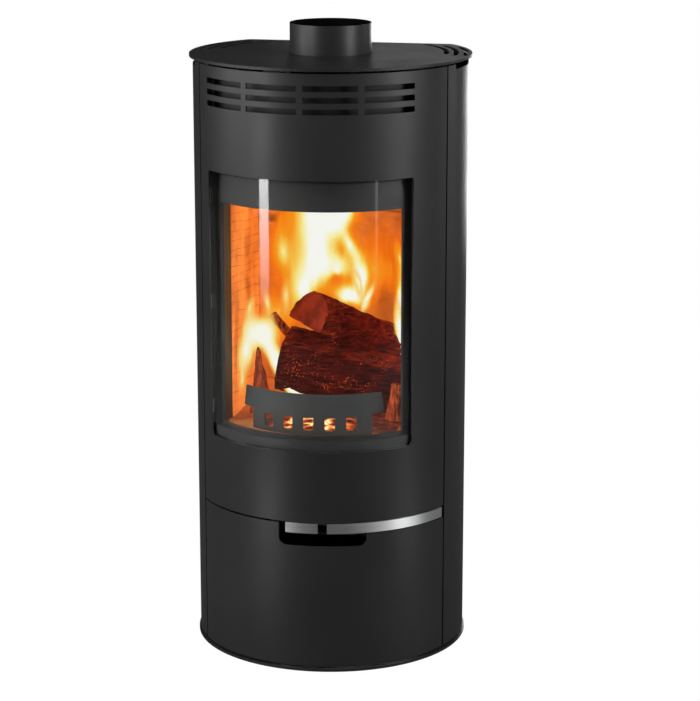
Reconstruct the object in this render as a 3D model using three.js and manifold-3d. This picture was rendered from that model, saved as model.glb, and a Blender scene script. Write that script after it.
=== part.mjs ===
// Tall free-standing wood burning stove: a black steel cylinder with a flat back, a curved glazed
// fire door, a wood store below it and a 150 mm flue collar on top.
// Millimetres, +Z up. The origin is on the floor, on the flue's axis, which is also the axis of the
// curved skins. The front is -Y, and angles are degrees from the front, positive towards +X.
import * as THREE from 'three';
import { mergeVertices } from 'three/addons/utils/BufferGeometryUtils.js';
import Module from 'manifold-3d';

const wasm = await Module();
wasm.setup();

// ---- Driving dimensions ----------------------------------------------------------------------
const GAP = 0.3; // between pieces that touch
const THROUGH = 5; // how far a cutter reaches past the piece that it cuts
const BODY_R = 252.5; // outer radius of the door and side skins
const SKIN = 3; // thickness of the skins
const INNER_R = BODY_R - SKIN;
const BACK_Y = 163; // outer face of the back panel

const BASE = { r: 255.5, back: 166, corner: 12, top: 5 };
const TOP = { r: 259, back: 169, corner: 14, low: 1103, high: 1108 };
const BODY_Z = { low: 9, high: 1098.5, vent: 1090, rearHigh: TOP.low - GAP };

const FLUE = { r: 75, wall: 2, top: 1162, flangeR: 96 };
const TOP_SLOTS = [
  { r: 212, from: 93, to: 136 },
  { r: 230, from: 88, to: 127 },
  { r: 248, from: 88, to: 119 },
];
const TOP_SLOT_WIDTH = 9;

const LEFT_EDGE = -56.1; // hinge edge of both doors
const RIGHT_EDGE = 67.6; // free edge of both doors
const LEFT_PANEL_EDGE = -57;
const RIGHT_PANEL_EDGE = 68.5;
const REAR_PANEL_EDGE = 129.2;

const FIRE_DOOR_BOTTOM = 284.8;
const WINDOW = { half: 48.15, low: 417, high: 910, lowCorner: 14, highCorner: 5 };
const VENT = { first: 1031.7, pitch: 20.3, height: 10.2, rows: 3 };
const VENT_SPANS = [[-48.4, -26.1], [-23.6, -1.28], [1.28, 23.6], [26.1, 48.4]];

const GLASS = { inner: 243, outer: 247, half: 50, low: 406, high: 920 };
const DOOR_FRAME = { inner: 238.8, outer: 241.8, half: 53.3, low: 400, high: 927 };
const DOOR_FRAME_HOLE = { half: 51, low: 436, high: 912 };

const HINGE = { r: 242.5, deg: -53.8, pinR: 4, holeR: 4.3 };
const LUG = 4; // thickness of the hinge lugs
const UPPER_BRACKET = { low: 1098.8, high: 1102.7 }; // in the gap over the door
const MIDDLE_BRACKET = { low: 281.8, high: 284.5 }; // in the gap between the doors
const LUG_Z = { top: 1090, overMiddle: 285.2, underMiddle: 277.2, bottom: 14 };

const HANDLE = { inner: 247, from: 10.7, to: 66.5, low: 264.3, high: 283.3 };
const SHAFT = { r: 240, deg: 62, radius: 4, holeR: 4.3, low: 264.5, high: 905 };
const HOOK_Z = [352, 862];
const BEARING_Z = [304, 884];

const LOWER_DOOR_TOP = 281.5;
const LOWER_DOOR_RIGHT_TOP = 262;
const NOTCH = { from: -9.8, to: 27.25, low: 240, corner: 14 };
const AIR_TAB = { inner: 246.5, half: 6.83 };

const FRONT_FRAME = { inner: 226, outer: 229, face: 232, half: 57.5, low: 291, high: 1094 };
const FIRE_OPENING = { half: 46.2, low: 442, high: 852 };
const FRAME_FACE = { half: 50.3, topHalf: 44, low: 415, chamferLow: 851, high: 904 };
const CHEEK = { x: 167.5, back: -95, sheet: 3 };

const WALL_X = 191; // inner face of the firebox side walls
const WALL = 3;
const FIREBOX_BACK = 127.8; // inner face of the firebox back wall
const BRICK_X = 165.5; // inner face of the side bricks
const BRICK_TOP = 852;
const FLOOR_Z = { plate: 398, brick: 402.3, top: 432 };
const GRATE = { x: 95, y: 75, low: 412 };
const ROOF_Z = 1000;
const ROOF_SHEET = 4;

const ASH_FLOOR_Z = 287;
const PAN = { x: 100, front: -190, back: 40, low: 290.5, high: 372, sheet: 2 };
const PAN_OPENING = { x: 104, high: 380 };
const STORE_ROOF_Z = 255;

const GUARD = { inner: 190, outer: 193, half: 43.2, top: 509, slant: 2.3, stepHalf: 35.2, stepZ: 471 };
const GUARD_HOLE = { width: 19, low: 440.5, high: 465.5, corner: 6, pitch: 11.75, count: 5 };

const SLIDE = { x: 75, front: -205, back: -145, low: 283.3, sheet: 3.3 };
const PORT = { width: 9, pitch: 20, count: 5, front: -190, back: -158 };
const CHANNEL = { x: 71, front: -192, back: 150, low: 262, high: 283, sheet: 2 };
const DUCT = { x: 48, front: 96, low: 150 };
const INLET = { r: 40, wall: 2, z: 205, back: 168, front: 150.4 };

// ---- Shape helpers ---------------------------------------------------------------------------
const radians = THREE.MathUtils.degToRad;
const degrees = THREE.MathUtils.radToDeg;
const ARC_STEP = 2.5; // degrees between points on a curved skin

function polar(r, deg) {
  return new THREE.Vector2(r * Math.sin(radians(deg)), -r * Math.cos(radians(deg)));
}

function arc(r, from, to, centre = new THREE.Vector2(), step = ARC_STEP) {
  const count = Math.max(1, Math.round(Math.abs(to - from) / step));
  const turn = (to - from) / count;
  return Array.from({ length: count + 1 }, (_, i) => polar(r, from + turn * i).add(centre));
}

function extrusion(points, depth) {
  return new THREE.ExtrudeGeometry(new THREE.Shape(points), { depth, bevelEnabled: false });
}

function prism(points, low, high) {
  return extrusion(points, high - low).translate(0, 0, low);
}

// A block bent round the stove's axis.
function sector(inner, outer, from, to, low, high) {
  return prism([...arc(outer, from, to), ...arc(inner, to, from)], low, high);
}

function box(x0, x1, y0, y1, z0, z1) {
  const geometry = new THREE.BoxGeometry(x1 - x0, y1 - y0, z1 - z0);
  return geometry.translate((x0 + x1) / 2, (y0 + y1) / 2, (z0 + z1) / 2);
}

function post(centre, radius, low, high, sides = 24) {
  const geometry = new THREE.CylinderGeometry(radius, radius, high - low, sides);
  return geometry.rotateX(Math.PI / 2).translate(centre.x, centre.y, (low + high) / 2);
}

// The plan of the stove: a circle cut off flat at the back, with rounded rear corners.
function planOutline(r, back, corner) {
  const y = back - corner;
  const x = Math.sqrt((r - corner) ** 2 - y ** 2);
  const turn = degrees(Math.atan2(x, -y));
  return [
    ...arc(r, -turn, turn),
    ...arc(corner, turn, 180, new THREE.Vector2(x, y), 15),
    ...arc(corner, 180, 360 - turn, new THREE.Vector2(-x, y), 15),
  ];
}

// Extrudes an outline drawn on the skin (x along the skin from the middle, y up) outwards
// from one radius to another, at the place of an angle on the skin.
function outward(points, deg, low, high) {
  const block = extrusion(points, high - low);
  const direction = polar(1, deg);
  const out = new THREE.Vector3(direction.x, direction.y, 0);
  const up = new THREE.Vector3(0, 0, 1);
  const along = new THREE.Vector3().crossVectors(up, out);
  block.applyMatrix4(new THREE.Matrix4().makeBasis(along, up, out));
  return block.translate(out.x * low, out.y * low, 0);
}

function roundedRectangle(width, low, high, lowCorner, highCorner) {
  const half = width / 2;
  const at = (x, y) => new THREE.Vector2(x, y);
  const points = [];
  if (highCorner > 0) {
    points.push(...arc(highCorner, 90, 180, at(half - highCorner, high - highCorner), 15));
    points.push(...arc(highCorner, 180, 270, at(highCorner - half, high - highCorner), 15));
  } else {
    points.push(at(half, high), at(-half, high));
  }
  points.push(...arc(lowCorner, 270, 360, at(lowCorner - half, low + lowCorner), 15));
  points.push(...arc(lowCorner, 0, 90, at(half - lowCorner, low + lowCorner), 15));
  return points;
}

// ---- Joining and cutting ---------------------------------------------------------------------
function solid(shape) {
  if (!shape.isBufferGeometry) return shape;
  const bare = shape.clone();
  bare.deleteAttribute('normal');
  bare.deleteAttribute('uv');
  const merged = mergeVertices(bare, 1e-4);
  return new wasm.Manifold(
    new wasm.Mesh({
      numProp: 3,
      vertProperties: Float32Array.from(merged.attributes.position.array),
      triVerts: Uint32Array.from(merged.index.array),
    }),
  );
}

function geometryOf(manifold) {
  const mesh = manifold.getMesh();
  const geometry = new THREE.BufferGeometry();
  geometry.setAttribute('position', new THREE.BufferAttribute(Float32Array.from(mesh.vertProperties), 3));
  geometry.setIndex(new THREE.BufferAttribute(Uint32Array.from(mesh.triVerts), 1));
  geometry.computeVertexNormals();
  return geometry;
}

const cut = (shape, ...tools) => tools.reduce((left, tool) => left.subtract(solid(tool)), solid(shape));
const join = (...shapes) => shapes.slice(1).reduce((sum, shape) => sum.add(solid(shape)), solid(shapes[0]));
const common = (shape, other) => solid(shape).intersect(solid(other));

// ---- Materials -------------------------------------------------------------------------------
function finish(color, roughness, metalness, more = {}) {
  return new THREE.MeshStandardMaterial({ color, roughness, metalness, ...more });
}

const blackPaint = finish(0x1d1d1f, 0.5, 0.3);
const blackSteel = finish(0x232325, 0.6, 0.4);
const chassisSteel = finish(0x2a2a2c, 0.65, 0.4);
const castIron = finish(0x2b2a29, 0.75, 0.5);
const chrome = finish(0xd6d6d8, 0.15, 1);
const bareSteel = finish(0x8d8f92, 0.35, 0.9);
const ceramicGlass = finish(0xd9dcdc, 0.05, 0, { transparent: true, opacity: 0.25 });
const rope = finish(0x3a3a3a, 0.95, 0);
const vermiculite = finish(0xb89a6c, 0.95, 0);
const charredWood = finish(0x4a2416, 0.9, 0);
const galvanised = finish(0x9a9c9e, 0.45, 0.8);

const stove = new THREE.Group();

function add(name, shape, material) {
  const geometry = shape.isBufferGeometry ? shape : geometryOf(shape);
  const mesh = new THREE.Mesh(geometry, material.clone());
  mesh.name = name;
  stove.add(mesh);
}

// Adds a left and a right copy of a shape that is made on the right.
function addPair(stem, makeShape, material) {
  add(`${stem}_right`, makeShape(1), material);
  add(`${stem}_left`, makeShape(-1), material);
}

// A sector on either side, whose angles are given for the right.
function sideSector(side, inner, outer, from, to, low, high) {
  return side > 0 ? sector(inner, outer, from, to, low, high) : sector(inner, outer, -to, -from, low, high);
}

function sideBox(side, x0, x1, y0, y1, z0, z1) {
  return side > 0 ? box(x0, x1, y0, y1, z0, z1) : box(-x1, -x0, y0, y1, z0, z1);
}

// ---- Plates and outer casing -----------------------------------------------------------------
const hingeAxis = polar(HINGE.r, HINGE.deg);
const shaftAxis = polar(SHAFT.r, SHAFT.deg);

add('base_plate', cut(
  prism(planOutline(BASE.r, BASE.back, BASE.corner), 0, BASE.top),
  post(hingeAxis, HINGE.holeR, 2, 10),
), blackPaint);

const topSlots = TOP_SLOTS.flatMap(({ r, from, to }) => [1, -1].map((side) => sideSector(
  side, r - TOP_SLOT_WIDTH / 2, r + TOP_SLOT_WIDTH / 2, from, to, TOP.low - THROUGH, TOP.high + THROUGH,
)));
add('top_plate', cut(
  prism(planOutline(TOP.r, TOP.back, TOP.corner), TOP.low, TOP.high),
  post(new THREE.Vector2(), FLUE.r + 0.5, TOP.low - THROUGH, TOP.high + THROUGH, 72),
  ...topSlots,
), blackPaint);

// The collar is a turned ring: a flange on the firebox roof and a plain spigot above it.
const FLANGE_LOW = ROOF_Z + ROOF_SHEET + GAP;
const FLANGE_HIGH = FLANGE_LOW + 4;
const flueProfile = [
  [FLUE.r - FLUE.wall, FLANGE_LOW],
  [FLUE.flangeR, FLANGE_LOW],
  [FLUE.flangeR, FLANGE_HIGH],
  [FLUE.r, FLANGE_HIGH],
  [FLUE.r, FLUE.top],
  [FLUE.r - FLUE.wall, FLUE.top],
  [FLUE.r - FLUE.wall, FLANGE_LOW],
].map(([r, z]) => new THREE.Vector2(r, z));
add('flue_collar', new THREE.LatheGeometry(flueProfile, 72).rotateX(Math.PI / 2), blackPaint);

// Each side skin is as high as the door along its front strip. Behind that is a vent for warm air
// under the top plate, and further back the skin meets the plate.
const FRONT_STRIP = 6.5; // degrees
const SIDE_VENT_END = 99;
const CLEAR = { inner: INNER_R - THROUGH, outer: BODY_R + THROUGH };
function sidePanel(side) {
  const edge = side > 0 ? RIGHT_PANEL_EDGE : -LEFT_PANEL_EDGE;
  const ventStart = edge + FRONT_STRIP;
  return cut(
    sideSector(side, INNER_R, BODY_R, edge, REAR_PANEL_EDGE, BODY_Z.low, BODY_Z.rearHigh),
    sideSector(side, CLEAR.inner, CLEAR.outer, edge - 1, ventStart + 1, BODY_Z.high, TOP.low),
    sideSector(side, CLEAR.inner, CLEAR.outer, ventStart, SIDE_VENT_END, BODY_Z.vent, TOP.low),
  );
}
addPair('side_panel', sidePanel, blackPaint);

const BACK_X = 195.2; // laps behind the rear edges of the side panels
const BACK_SLOT = { half: 30, height: 6, pitch: 14, rows: 5, groupPitch: 95 };
function backSlot(x, low) {
  const high = low + BACK_SLOT.height;
  return box(x - BACK_SLOT.half, x + BACK_SLOT.half, BACK_Y - THROUGH, BACK_Y + THROUGH, low, high);
}
const backSlots = [];
for (const lowest of [25, 995]) {
  for (const group of [-1, 0, 1]) {
    for (let row = 0; row < BACK_SLOT.rows; row += 1) {
      backSlots.push(backSlot(group * BACK_SLOT.groupPitch, lowest + row * BACK_SLOT.pitch));
    }
  }
}
function alongY(radius, z, front, back, sides = 48) {
  const geometry = new THREE.CylinderGeometry(radius, radius, back - front, sides);
  return geometry.translate(0, (front + back) / 2, z);
}
add('back_panel', cut(
  box(-BACK_X, BACK_X, BACK_Y - SKIN, BACK_Y, BASE.top + GAP, BODY_Z.rearHigh),
  alongY(INLET.r + 0.5, INLET.z, BACK_Y - THROUGH, BACK_Y + THROUGH),
  ...backSlots,
), blackPaint);
add('rear_heat_shield', box(-165, 165, 146, 147.5, 310, 1085), galvanised);

// ---- Inner chassis ---------------------------------------------------------------------------
const LEFT_POST = { inner: 236, outer: 246, from: 60, to: 66 };
const RIGHT_POST = { inner: 226, outer: 238, from: 70, to: 76 };
add('left_post', sideSector(
  -1, LEFT_POST.inner, LEFT_POST.outer, LEFT_POST.from, LEFT_POST.to, BASE.top + GAP, UPPER_BRACKET.low - GAP,
), chassisSteel);
add('right_post', sector(
  RIGHT_POST.inner, RIGHT_POST.outer, RIGHT_POST.from, RIGHT_POST.to, BASE.top + GAP, BODY_Z.high - 3,
), chassisSteel);

const STORE_R = 225;
add('wood_store_roof', cut(
  prism(planOutline(STORE_R, 145, 5), STORE_ROOF_Z, STORE_ROOF_Z + WALL),
  box(-DUCT.x - 1, DUCT.x + 1, DUCT.front - 1, 160, STORE_ROOF_Z - THROUGH, STORE_ROOF_Z + WALL + THROUGH),
), chassisSteel);

const ports = Array.from({ length: PORT.count }, (_, i) => (i - (PORT.count - 1) / 2) * PORT.pitch);
function portCutters(offset, low, high) {
  return ports.map((x) => box(
    x + offset - PORT.width / 2, x + offset + PORT.width / 2, PORT.front, PORT.back, low, high,
  ));
}
add('ash_compartment_floor', cut(
  prism(planOutline(STORE_R, 145, 5), ASH_FLOOR_Z, ASH_FLOOR_Z + WALL),
  ...portCutters(0, ASH_FLOOR_Z - THROUGH, ASH_FLOOR_Z + WALL + THROUGH),
), chassisSteel);

// ---- Firebox ---------------------------------------------------------------------------------
const WALL_FRONT = -118; // where the side walls meet the curved front frame
addPair('firebox_wall', (side) => sideBox(
  side, WALL_X, WALL_X + WALL, WALL_FRONT, FIREBOX_BACK - GAP, ASH_FLOOR_Z + WALL + GAP, ROOF_Z - GAP,
), chassisSteel);
add('firebox_back_wall', box(
  -WALL_X - WALL, WALL_X + WALL, FIREBOX_BACK, FIREBOX_BACK + WALL, ASH_FLOOR_Z + WALL + GAP, ROOF_Z - GAP,
), chassisSteel);

const roofOutline = common(
  prism(planOutline(FRONT_FRAME.inner - 0.5, FIREBOX_BACK + WALL, 5), ROOF_Z, ROOF_Z + ROOF_SHEET),
  box(-WALL_X - WALL, WALL_X + WALL, -300, 300, ROOF_Z - THROUGH, ROOF_Z + ROOF_SHEET + THROUGH),
);
add('firebox_roof', cut(
  roofOutline,
  post(new THREE.Vector2(), FLUE.r - FLUE.wall, ROOF_Z - THROUGH, ROOF_Z + ROOF_SHEET + THROUGH, 72),
), chassisSteel);

// Inside outline of the firebox floor: between the side walls, behind the curved front frame.
function floorBlock(low, high) {
  return common(
    prism(planOutline(FRONT_FRAME.inner - 0.5, FIREBOX_BACK - GAP, 3), low, high),
    box(-WALL_X + GAP, WALL_X - GAP, -300, 300, low - THROUGH, high + THROUGH),
  );
}
add('firebox_floor', cut(
  floorBlock(FLOOR_Z.plate, FLOOR_Z.plate + 4),
  box(-GRATE.x + 8, GRATE.x - 8, -GRATE.y + 8, GRATE.y - 8, FLOOR_Z.plate - 1, FLOOR_Z.plate + 5),
), chassisSteel);

// The front frame is a curved plate with the fire opening and the ash pan opening, a raised face
// round the fire opening with sloped top corners, and two cheeks that go back to the side bricks.
const frameFace = cut(
  sector(
    FRONT_FRAME.outer - 1, FRONT_FRAME.face, -FRAME_FACE.half, FRAME_FACE.half,
    FRAME_FACE.low, FRAME_FACE.high,
  ),
  ...[1, -1].map((side) => {
    const width = radians(FRAME_FACE.half - FRAME_FACE.topHalf) * FRONT_FRAME.face;
    const corner = [
      [side * -width, FRAME_FACE.high + 1],
      [side * 20, FRAME_FACE.high + 1],
      [side * 20, FRAME_FACE.chamferLow],
      [0, FRAME_FACE.chamferLow],
    ].map(([x, y]) => new THREE.Vector2(x, y));
    return outward(corner, side * FRAME_FACE.half, FRONT_FRAME.outer, FRONT_FRAME.face + 12);
  }),
);
const { half: openHalf, low: openLow, high: openHigh } = FIRE_OPENING;
const fireOpening = sector(
  FRONT_FRAME.inner - THROUGH, FRONT_FRAME.face + THROUGH, -openHalf, openHalf, openLow, openHigh,
);
const cheeks = [1, -1].map((side) => common(
  sideBox(side, CHEEK.x, CHEEK.x + CHEEK.sheet, -165, CHEEK.back, FLOOR_Z.top + GAP, openHigh + 10),
  post(new THREE.Vector2(), FRONT_FRAME.face - 0.5, 0, 1000, 144),
));
const frameHalf = FRONT_FRAME.half;
add('firebox_front_frame', join(
  cut(
    join(
      sector(FRONT_FRAME.inner, FRONT_FRAME.outer, -frameHalf, frameHalf, FRONT_FRAME.low, FRONT_FRAME.high),
      frameFace,
    ),
    fireOpening,
    box(-PAN_OPENING.x, PAN_OPENING.x, -260, -150, FRONT_FRAME.low - 1, PAN_OPENING.high),
  ),
  ...cheeks,
), chassisSteel);

// ---- Lining, grate and log guard -------------------------------------------------------------
const grateHole = box(-GRATE.x - GAP, GRATE.x + GAP, -GRATE.y - GAP, GRATE.y + GAP, FLOOR_Z.plate, 500);
addPair('floor_brick', (side) => cut(
  common(floorBlock(FLOOR_Z.brick, FLOOR_Z.top), sideBox(side, GAP / 2, 200, -300, 300, 0, 500)),
  grateHole,
), vermiculite);
addPair('side_brick', (side) => sideBox(
  side, BRICK_X, WALL_X - GAP, CHEEK.back + 1, 100 - GAP, FLOOR_Z.top + GAP, BRICK_TOP,
), vermiculite);
add('rear_brick', box(
  -WALL_X + GAP, WALL_X - GAP, 100, FIREBOX_BACK - GAP, FLOOR_Z.top + GAP, BRICK_TOP,
), vermiculite);
add('baffle_plate', box(
  -WALL_X + GAP, WALL_X - GAP, -70, FIREBOX_BACK - GAP, BRICK_TOP + GAP, BRICK_TOP + 25,
), vermiculite);

const GRATE_SLOT = { width: 8, pitch: 17, count: 10 };
const grateSlots = Array.from({ length: GRATE_SLOT.count }, (_, i) => {
  const x = (i - (GRATE_SLOT.count - 1) / 2) * GRATE_SLOT.pitch;
  return box(x - GRATE_SLOT.width / 2, x + GRATE_SLOT.width / 2, -GRATE.y + 14, GRATE.y - 14, 380, 500);
});
add('fire_grate', cut(
  join(
    box(-GRATE.x, GRATE.x, -GRATE.y, GRATE.y, GRATE.low, FLOOR_Z.top),
    box(-GRATE.x + 9, GRATE.x - 9, -GRATE.y + 9, GRATE.y - 9, FLOOR_Z.brick, GRATE.low + 1),
  ),
  ...grateSlots,
), castIron);

// The guard's ends lean in towards the top and step in below, and five slots let the glow through.
const guardEnds = [1, -1].map((side) => {
  const lean = radians(GUARD.slant) * GUARD.outer;
  const end = [
    [side * -lean, GUARD.top + 1],
    [side * 20, GUARD.top + 1],
    [side * 20, GUARD.stepZ],
    [0, GUARD.stepZ],
  ].map(([x, y]) => new THREE.Vector2(x, y));
  return outward(end, side * GUARD.half, GUARD.inner - 15, GUARD.outer + 15);
});
const guardSteps = [1, -1].map((side) => sideSector(
  side, GUARD.inner - THROUGH, GUARD.outer + THROUGH, GUARD.stepHalf, GUARD.half + 2, 400, GUARD.stepZ,
));
const guardHoles = Array.from({ length: GUARD_HOLE.count }, (_, i) => {
  const outline = roundedRectangle(GUARD_HOLE.width, GUARD_HOLE.low, GUARD_HOLE.high, GUARD_HOLE.corner, 0);
  const deg = (i - (GUARD_HOLE.count - 1) / 2) * GUARD_HOLE.pitch;
  return outward(outline, deg, GUARD.inner - THROUGH, GUARD.outer + THROUGH);
});
add('log_guard', cut(
  sector(GUARD.inner, GUARD.outer, -GUARD.half, GUARD.half, FLOOR_Z.top + GAP, GUARD.top),
  ...guardEnds,
  ...guardSteps,
  ...guardHoles,
), blackSteel);

// ---- Logs ------------------------------------------------------------------------------------
// Each log is a split billet between two points: a rough D-shaped section with a flat cut side.
const LOG_SECTION = [
  [1, 0], [0.86, 0.52], [0.45, 0.9], [-0.1, 1], [-0.62, 0.8],
  [-0.95, 0.3], [-0.9, -0.35], [-0.5, -0.8], [0.05, -0.86], [0.6, -0.7],
];
const LOGS = [
  { name: 'log_lower', from: [-74, -52, 536], to: [144, -42, 493], radius: 56, turn: 20 },
  { name: 'log_upper', from: [-22, -58, 641], to: [112, 62, 560], radius: 40, turn: 200 },
  { name: 'log_left', from: [-108, -104, 448], to: [-118, -94, 566], radius: 20, turn: 80 },
  { name: 'log_right', from: [142, -122, 450], to: [147, -112, 516], radius: 15, turn: 40 },
];
for (const { name, from, to, radius, turn } of LOGS) {
  const start = new THREE.Vector3(...from);
  const end = new THREE.Vector3(...to);
  const along = end.clone().sub(start);
  const outline = LOG_SECTION.map(([x, y]) => new THREE.Vector2(x * radius, y * radius)
    .rotateAround(new THREE.Vector2(), radians(turn)));
  const billet = extrusion(outline, along.length());
  const direction = along.clone().normalize();
  billet.applyQuaternion(new THREE.Quaternion().setFromUnitVectors(new THREE.Vector3(0, 0, 1), direction));
  add(name, billet.translate(start.x, start.y, start.z), charredWood);
}

// ---- Hinges ----------------------------------------------------------------------------------
const BRACKET = { inner: 232, outer: 248, from: 50.5 };
function hingeBracket(to, low, high) {
  return cut(
    sideSector(-1, BRACKET.inner, BRACKET.outer, BRACKET.from, to, low, high),
    post(hingeAxis, HINGE.holeR, low - THROUGH, high + THROUGH),
  );
}
add('upper_hinge_bracket', hingeBracket(LEFT_POST.to, UPPER_BRACKET.low, UPPER_BRACKET.high), chassisSteel);
add('middle_hinge_bracket', hingeBracket(
  LEFT_POST.from - 0.1, MIDDLE_BRACKET.low, MIDDLE_BRACKET.high,
), chassisSteel);

const PIN_OVERHANG = 4;
function hingePin(low, high) {
  return post(hingeAxis, HINGE.pinR, low, high);
}
add('upper_hinge_pin', hingePin(LUG_Z.top - PIN_OVERHANG, UPPER_BRACKET.high), bareSteel);
add('middle_hinge_pin', hingePin(
  LUG_Z.underMiddle - PIN_OVERHANG, LUG_Z.overMiddle + LUG + PIN_OVERHANG,
), bareSteel);
add('lower_hinge_pin', hingePin(2 + GAP, LUG_Z.bottom + LUG + PIN_OVERHANG), bareSteel);

// A hinge lug is a flat ear on the inside of a door skin, with a hole for the pin.
function hingeLug(low) {
  return cut(
    sideSector(-1, HINGE.r - 8, INNER_R - GAP, BRACKET.from, -LEFT_EDGE - 0.3, low, low + LUG),
    post(hingeAxis, HINGE.holeR, low - 1, low + LUG + 1),
  );
}

// ---- Fire door -------------------------------------------------------------------------------
const windowCorners = [1, -1].flatMap((side) => [
  { z: WINDOW.low + WINDOW.lowCorner, r: WINDOW.lowCorner },
  { z: WINDOW.high - WINDOW.highCorner, r: WINDOW.highCorner },
].map(({ z, r }) => {
  const circle = arc(r, 0, 345, new THREE.Vector2(0, z), 15);
  const deg = side * (WINDOW.half - degrees(r / BODY_R));
  return outward(circle, deg, CLEAR.inner - THROUGH, CLEAR.outer + THROUGH);
}));
function windowBand(inset, low, high) {
  const half = WINDOW.half - degrees(inset / BODY_R);
  return sector(CLEAR.inner, CLEAR.outer, -half, half, low, high);
}
const ventSlots = Array.from({ length: VENT.rows }, (_, row) => VENT.first + row * VENT.pitch)
  .flatMap((z) => VENT_SPANS.map(([from, to]) => sector(
    CLEAR.inner, CLEAR.outer, from, to, z - VENT.height / 2, z + VENT.height / 2,
  )));
add('fire_door_panel', cut(
  sector(INNER_R, BODY_R, LEFT_EDGE, RIGHT_EDGE, FIRE_DOOR_BOTTOM, BODY_Z.high),
  windowBand(0, WINDOW.low + WINDOW.lowCorner, WINDOW.high - WINDOW.highCorner),
  windowBand(WINDOW.lowCorner, WINDOW.low, WINDOW.low + WINDOW.lowCorner + 1),
  windowBand(WINDOW.highCorner, WINDOW.high - WINDOW.highCorner - 1, WINDOW.high),
  ...windowCorners,
  ...ventSlots,
), blackPaint);

add('fire_door_glass', sector(
  GLASS.inner, GLASS.outer, -GLASS.half, GLASS.half, GLASS.low, GLASS.high,
), ceramicGlass);
add('fire_door_inner_frame', cut(
  sector(
    DOOR_FRAME.inner, DOOR_FRAME.outer, -DOOR_FRAME.half, DOOR_FRAME.half, DOOR_FRAME.low, DOOR_FRAME.high,
  ),
  sector(
    DOOR_FRAME.inner - THROUGH, DOOR_FRAME.outer + THROUGH, -DOOR_FRAME_HOLE.half, DOOR_FRAME_HOLE.half,
    DOOR_FRAME_HOLE.low, DOOR_FRAME_HOLE.high,
  ),
), blackSteel);

// The rope seal lies between the door's inner frame and the flat of the firebox's front frame.
const SEAL = { half: 53, width: 2, low: 402, high: 925, height: 8 };
add('fire_door_rope_seal', cut(
  sector(FRONT_FRAME.outer + 0.4, DOOR_FRAME.inner - GAP, -SEAL.half, SEAL.half, SEAL.low, SEAL.high),
  sector(
    FRONT_FRAME.outer - THROUGH, DOOR_FRAME.inner + THROUGH, SEAL.width - SEAL.half, SEAL.half - SEAL.width,
    SEAL.low + SEAL.height, SEAL.high - SEAL.height,
  ),
), rope);

// Each glass retainer is a strip beside the glass with three clips that reach over its edge.
const CLIP = { centres: [470, 667, 864], half: 13, overlap: 1 };
const STRIP = { from: GLASS.half + 0.15, to: GLASS.half + 1.2, margin: 20 };
addPair('glass_retainer', (side) => join(
  sideSector(
    side, GLASS.inner, INNER_R - GAP, STRIP.from, STRIP.to,
    GLASS.low + STRIP.margin, GLASS.high - STRIP.margin,
  ),
  ...CLIP.centres.map((z) => sideSector(
    side, GLASS.outer + GAP, INNER_R - GAP, GLASS.half - CLIP.overlap, STRIP.from + 0.5,
    z - CLIP.half, z + CLIP.half,
  )),
), bareSteel);

add('fire_door_upper_lug', hingeLug(LUG_Z.top), blackSteel);
add('fire_door_lower_lug', hingeLug(LUG_Z.overMiddle), blackSteel);
['lower', 'upper'].forEach((place, i) => add(`latch_bearing_${place}`, cut(
  sector(SHAFT.r - 7, INNER_R - GAP, SHAFT.deg - 2, SHAFT.deg + 2, BEARING_Z[i], BEARING_Z[i] + 6),
  post(shaftAxis, SHAFT.holeR, BEARING_Z[i] - 1, BEARING_Z[i] + 7),
), blackSteel));

// ---- Door handle and latch -------------------------------------------------------------------
const BOSS = { r: 8.5, low: 266, high: 281 };
add('door_handle', cut(
  join(
    sector(HANDLE.inner, BODY_R, HANDLE.from, HANDLE.to, HANDLE.low, HANDLE.high),
    sector(SHAFT.r, HANDLE.inner + 1, SHAFT.deg - 1.5, SHAFT.deg + 1.5, BOSS.low, BOSS.high),
    post(shaftAxis, BOSS.r, BOSS.low, BOSS.high),
  ),
  post(shaftAxis, SHAFT.holeR, BOSS.low - 1, BOSS.high + 1),
), chrome);
add('latch_shaft', post(shaftAxis, SHAFT.radius, SHAFT.low, SHAFT.high), bareSteel);
const HOOK_END = 68.4;
['lower', 'upper'].forEach((place, i) => add(`latch_hook_${place}`, cut(
  join(
    post(shaftAxis, 9, HOOK_Z[i], HOOK_Z[i] + 6),
    sector(SHAFT.r - 5, SHAFT.r + 4, SHAFT.deg, HOOK_END, HOOK_Z[i], HOOK_Z[i] + 6),
    sector(SHAFT.r - 5, SHAFT.r + 7.5, HOOK_END - 1, HOOK_END, HOOK_Z[i], HOOK_Z[i] + 6),
  ),
  post(shaftAxis, SHAFT.holeR, HOOK_Z[i] - 1, HOOK_Z[i] + 7),
), bareSteel));

// Each keeper is a bent plate on the right post, just beyond the hook's nose.
const KEEPER = { half: 18, from: 69.2, sheet: 3 };
['lower', 'upper'].forEach((place, i) => {
  const low = HOOK_Z[i] + 3 - KEEPER.half;
  const high = HOOK_Z[i] + 3 + KEEPER.half;
  const inner = RIGHT_POST.outer + GAP;
  add(`latch_keeper_${place}`, join(
    sector(inner, inner + KEEPER.sheet, KEEPER.from, RIGHT_POST.to, low, high),
    sector(inner, SHAFT.r + 7.5, KEEPER.from, KEEPER.from + 0.8, low, high),
  ), bareSteel);
});

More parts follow.
